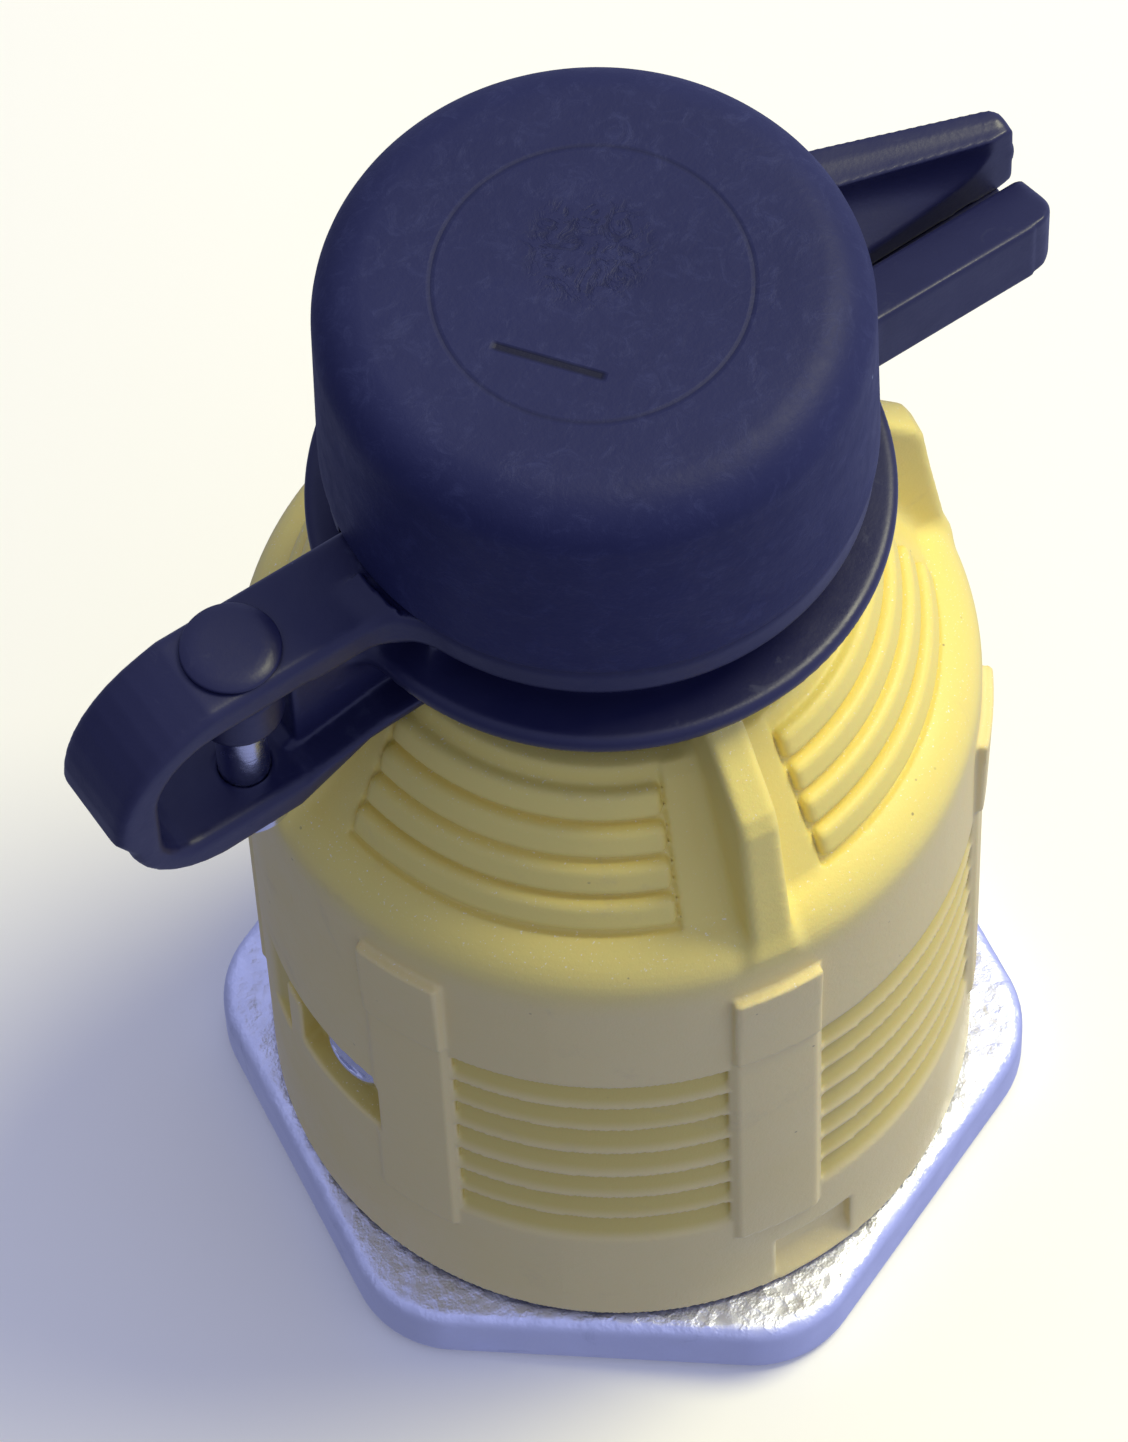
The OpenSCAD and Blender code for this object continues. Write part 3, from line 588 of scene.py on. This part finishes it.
def cap_rubber():
    """Matte black rubber with a moulded ring mark, a short slit, scratches and pale dust."""
    m = Shader("cap_rubber")
    tone = m.mix(m.noise(55, 6, 0.65), (0.010, 0.012, 0.050), (0.022, 0.025, 0.080))
    bloom = m.remap(m.noise(420, 8, 0.8, 0.8), 0.48, 0.72, smooth=True)
    tone = m.mix(m.math("MULTIPLY", bloom, 0.45), tone, (0.042, 0.048, 0.120))
    dust = m.math("MULTIPLY", m.remap(m.cells(300), 0.075, 0.035), m.remap(m.noise(95, 2), 0.60, 0.66))
    tone = m.mix(dust, tone, (0.45, 0.52, 0.66))
    x, y, z = (m.part(a) for a in "XYZ")
    on_top = m.remap(z, CAP_TOP * MM - 0.0012, CAP_TOP * MM - 0.0006)
    away = lambda cx, cy: (m.math("SUBTRACT", x, cx * MM), m.math("SUBTRACT", y, cy * MM))

    def distance(cx, cy):
        dx, dy = away(cx, cy)
        return m.math("SQRT", m.math("ADD", m.math("MULTIPLY", dx, dx), m.math("MULTIPLY", dy, dy)))

    def stroke(cx, cy, angle, half, wide):
        dx, dy = away(cx, cy)
        c, s = cos(radians(angle)), sin(radians(angle))
        u = m.math("ADD", m.math("MULTIPLY", dx, c), m.math("MULTIPLY", dy, s))
        w = m.math("SUBTRACT", m.math("MULTIPLY", dy, c), m.math("MULTIPLY", dx, s))
        inside = m.remap(m.math("ABSOLUTE", u), half * MM, half * MM * 0.9)
        return m.math("MULTIPLY", inside, m.remap(m.math("ABSOLUTE", w), wide * MM, wide * MM * 0.4))

    ring = m.remap(m.math("ABSOLUTE", m.math("SUBTRACT", distance(0, 0), 0.0129)), 0.00034, 0.0)
    slit = stroke(-6.9, -4.0, -53, 4.9, 0.5)
    worn = m.math("MULTIPLY", m.remap(distance(1.5, 2.8), 0.0062, 0.0035, smooth=True),
                  m.remap(m.noise(520, 4, 0.7, 1.5), 0.50, 0.60))
    marks = m.math("MAXIMUM", m.math("MULTIPLY", ring, 0.38), slit)
    marks = m.math("MULTIPLY", m.math("MAXIMUM", marks, m.math("MULTIPLY", worn, 0.35)), on_top)
    tone = m.mix(m.math("MULTIPLY", marks, 0.8), tone, (0.006, 0.006, 0.012))
    rough = m.remap(m.noise(260, 6, 0.7), 0.3, 0.7, 0.46, 0.62)
    height = m.math("ADD", m.math("MULTIPLY", m.noise(1300, 5, 0.65), 0.45), m.math("MULTIPLY", bloom, 0.12))
    height = m.math("SUBTRACT", height, m.math("MULTIPLY", marks, 1.6))
    return m.finish(tone, rough, height, 0.5, 0.0002, Specular_IOR_Level=0.20)


def steel(name, tone_a, tone_b, metallic=1.0, rough=(0.18, 0.34)):
    m = Shader(name)
    tone = m.mix(m.noise(500, 5, 0.7), tone_a, tone_b)
    tarnish = m.remap(m.noise(260, 6, 0.7), 0.58, 0.72, smooth=True)
    tone = m.mix(m.math("MULTIPLY", tarnish, 0.35), tone, [c * 0.45 for c in tone_a])
    return m.finish(tone, m.remap(m.noise(900, 4), 0.3, 0.7, *rough), m.noise(2600, 4), 0.15, 0.0001,
                    Metallic=metallic)


def plastic(name, tone_a, tone_b, rough=(0.45, 0.62)):
    m = Shader(name)
    tone = m.mix(m.noise(120, 5), tone_a, tone_b)
    scuff = m.remap(m.noise(420, 7, 0.75, 1.0), 0.58, 0.72)
    tone = m.mix(m.math("MULTIPLY", scuff, 0.3), tone, [min(1, c * 1.6 + 0.03) for c in tone_a])
    return m.finish(tone, m.remap(m.noise(300, 5), 0.3, 0.7, *rough), m.noise(1800, 4), 0.25, 0.00012)


YELLOW, ZINC, BLACK, CAP = yellow_nylon(), zinc_steel(), black_plastic(), cap_rubber()
RUBBER = plastic("black_rubber", (0.022, 0.022, 0.026), (0.035, 0.035, 0.04), (0.6, 0.78))
DARK = plastic("dark_nylon", (0.03, 0.03, 0.034), (0.05, 0.05, 0.056))
WHITE = plastic("white_nylon", (0.60, 0.60, 0.55), (0.72, 0.72, 0.67))
BRASS = steel("contact_brass", (0.72, 0.52, 0.22), (0.85, 0.66, 0.32))
PLATED = steel("contact_plated", (0.66, 0.66, 0.66), (0.80, 0.80, 0.78))
SCREW = steel("screw_steel", (0.58, 0.60, 0.70), (0.84, 0.86, 0.96), rough=(0.14, 0.30))
BLUED = steel("pin_steel", (0.05, 0.05, 0.06), (0.09, 0.09, 0.105), 0.9, (0.28, 0.42))
SLOTS = {
    "yellow_nylon": YELLOW, "zinc_steel": ZINC, "black_plastic": BLACK, "black_rubber": RUBBER,
    "dark_nylon": DARK, "white_nylon": WHITE, "contact_brass": BRASS, "contact_plated": PLATED,
    "screw_steel": SCREW, "pin_steel": BLUED,
}


def wear_material(obj, material):
    obj.data.materials.clear()
    obj.data.materials.append(material)


slot_of = {s["node"]: s["material_slot"] for s in frame["record"]["subparts"]}
for node, obj in frame["nodes"].items():
    wear_material(obj, SLOTS[slot_of[node]])


# ---- pieces ----------------------------------------------------------------

def piece(obj, node, body, material):
    wear_material(obj, material)
    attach(obj, body)
    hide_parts(node)
    return obj


piece(mesh_field("housing_moulding", housing_field, (-35, -35, 7), (35, 35, 98.5), FINE),
      "housing", "connector", YELLOW)
piece(mesh_field("flange_casting", flange_field, (-38, -38, -0.6), (38, 38, 45), FINE * 1.25),
      "face_flange", "connector", ZINC)
piece(mesh_field("clamp_ring_and_loop", base_field, (-52, -25.4, 80.4), (45, 25.4, 110.4), FINE),
      "clamp_base", "connector", BLACK)
piece(mesh_field("clamp_swing_half", jaw_field, (-41, -5.4, 96.4), (46.4, 24, 110.4), FINE),
      "clamp_jaw", "jaw", BLACK)


def cap_profile():
    """Section of the closing cap: crown, side wall, foot, and the plug that fills the clamp's ring."""
    edge_r, wall, plug_r, plug_foot, roof = 4.6, 2.8, 13.2, 101.8, CAP_TOP - 4
    inner = CAP_R - wall
    return (
        [(0, CAP_TOP - 0.02), (16.4, CAP_TOP - 0.08)]
        + arc((CAP_R - 0.4 - edge_r, CAP_TOP - 0.1 - edge_r), edge_r, 86, 0, 14)
        + [(CAP_R - 0.02, CAP_FOOT + 1.2)] + arc((CAP_R - 0.62, CAP_FOOT + 0.6), 0.6, 0, -90, 4)
        + [(inner + 0.5, CAP_FOOT), (inner, CAP_FOOT + 0.5), (inner, roof - 1.2), (inner - 1.2, roof),
           (plug_r, roof), (plug_r, plug_foot + 0.4), (plug_r - 0.4, plug_foot),
           (plug_r - wall + 0.4, plug_foot), (plug_r - wall, plug_foot + 0.4), (plug_r - wall, roof),
           (0, roof)])


def hinge_pin():
    """Steel pin with a low black head on top of the strap."""
    head_foot, head_r = 109.02, 4.2
    profile = ([(0, 85)] + arc((PIN_R - 0.4, 85.4), 0.4, -90, 0, 3)
               + [(PIN_R, head_foot - 0.12), (head_r - 0.15, head_foot)]
               + arc((head_r - 0.3, 109.35), 0.3, -60, 60, 4)
               + [(3.2, 109.86), (2.4, 109.92), (1.2, 109.96), (0, 109.97)])
    pin = piece(lathe("pin_and_head", profile, (-PIN_X, 0), 96), "hinge_pin", "connector", SCREW)
    pin.data.materials.append(BLACK)
    for face in pin.data.polygons:
        if face.center.z > (head_foot - 0.12) * MM:
            face.material_index = 1


def side_screw(number, angle):
    """Plated slotted screw in a side window, laid along the radius."""
    head = mesh_field(
        f"side_screw_{number}",
        lambda x, y, z: screw_field(x, y, z, 10.4, SCREW_HEAD_R, SCREW_HEAD_H, SCREW_SHANK_R, 0.6),
        (-11, -4.8, -4.8), (3, 4.8, 4.8), 0.16)
    a = radians(angle) + BODY_TURN
    axis = (cos(a), sin(a), 0)
    aim(head, [c * (WINDOW_SEAT + 0.05) for c in axis[:2]] + [WINDOW_Z], axis)
    piece(head, f"retaining_screw_{number}", f"retaining_screw_{number}_body", SCREW)


piece(lathe("rubber_cap", cap_profile()), "closing_cap", "cap", CAP)
hinge_pin()
for number, angle in enumerate(WINDOW_ANGLES, 1):
    side_screw(number, angle)


# ---- stage, light and camera -----------------------------------------------

def stage_floor():
    mesh = bpy.data.meshes.new("floor")
    bpy.context.scene.collection.objects.link(bpy.data.objects.new("floor", mesh))
    half = 5
    corners = [(-half, -half, 0), (half, -half, 0), (half, half, 0), (-half, half, 0)]
    mesh.from_pydata(corners, [], [(0, 1, 2, 3)])
    m = Shader("floor_paper")
    paper = m.mix(m.noise(3, 3), (0.97, 0.94, 0.78), (0.98, 0.95, 0.80))
    floor = bpy.data.objects["floor"]
    wear_material(floor, m.finish(paper, 0.9, m.noise(400, 3), 0.05, 0.0001))
    floor.visible_diffuse = floor.visible_glossy = False


def area_light(name, position, target, size, power, color):
    light = bpy.data.lights.new(name, "AREA")
    light.shape, light.size, light.energy, light.color = "DISK", size, power, color
    obj = bpy.data.objects.new(name, light)
    obj.location = position
    obj.rotation_euler = (Vector(target) - Vector(position)).to_track_quat("-Z", "Y").to_euler()
    bpy.context.scene.collection.objects.link(obj)


stage_floor()
area_light("key", (0.50, -0.10, 0.85), (0, 0, 0.05), 0.45, 7.3, (1.0, 0.97, 0.62))


def room_light(dark, bright, toward):
    """A room that grows brighter towards one side, as beside a window."""
    world = bpy.data.worlds.new("room")
    world.use_nodes = True
    nodes, links = world.node_tree.nodes, world.node_tree.links
    place = nodes.new("ShaderNodeTexCoord")
    dot = nodes.new("ShaderNodeVectorMath")
    dot.operation = "DOT_PRODUCT"
    dot.inputs[1].default_value = Vector(toward).normalized()
    links.new(place.outputs["Generated"], dot.inputs[0])
    ramp = nodes.new("ShaderNodeMapRange")
    for name, value in (("From Min", -0.8), ("From Max", 0.9), ("To Min", dark), ("To Max", bright)):
        ramp.inputs[name].default_value = value
    links.new(dot.outputs["Value"], ramp.inputs["Value"])
    links.new(ramp.outputs["Result"], nodes["Background"].inputs["Strength"])
    nodes["Background"].inputs["Color"].default_value = (0.55, 0.60, 1.0, 1)
    bpy.context.scene.world = world


room_light(0.34, 1.05, (0.8, -0.3, 0.5))


def main_camera():
    """Looks down steeply from the clamp's fixed side, a little rolled."""
    elevation, roll, bearing = radians(61.0), radians(-2.9), radians(-31.5)
    distance, aim_height = 23.2 * DRUM_R * MM, 52.1 * MM
    shift_right, shift_up = 0.132 * DRUM_R * MM, -0.1245 * DRUM_R * MM
    level = Vector((cos(bearing), sin(bearing), 0))
    ahead = Vector((-sin(bearing), cos(bearing), 0))
    look = ahead * cos(elevation) - Vector((0, 0, sin(elevation)))
    top = ahead * sin(elevation) + Vector((0, 0, cos(elevation)))
    right = level * cos(roll) + top * sin(roll)
    top = top * cos(roll) - level * sin(roll)
    turn = Matrix((right, top, -look)).transposed().to_4x4()
    spot = Vector((0, 0, aim_height)) - right * shift_right - top * shift_up - look * distance
    camera = bpy.data.objects.new("camera", bpy.data.cameras.new("camera"))
    camera.matrix_world = Matrix.Translation(spot) @ turn
    camera.data.lens = 212
    camera.data.clip_end = 20
    bpy.context.scene.collection.objects.link(camera)
    bpy.context.scene.camera = camera


main_camera()
bpy.context.scene.view_settings.view_transform = "Standard"
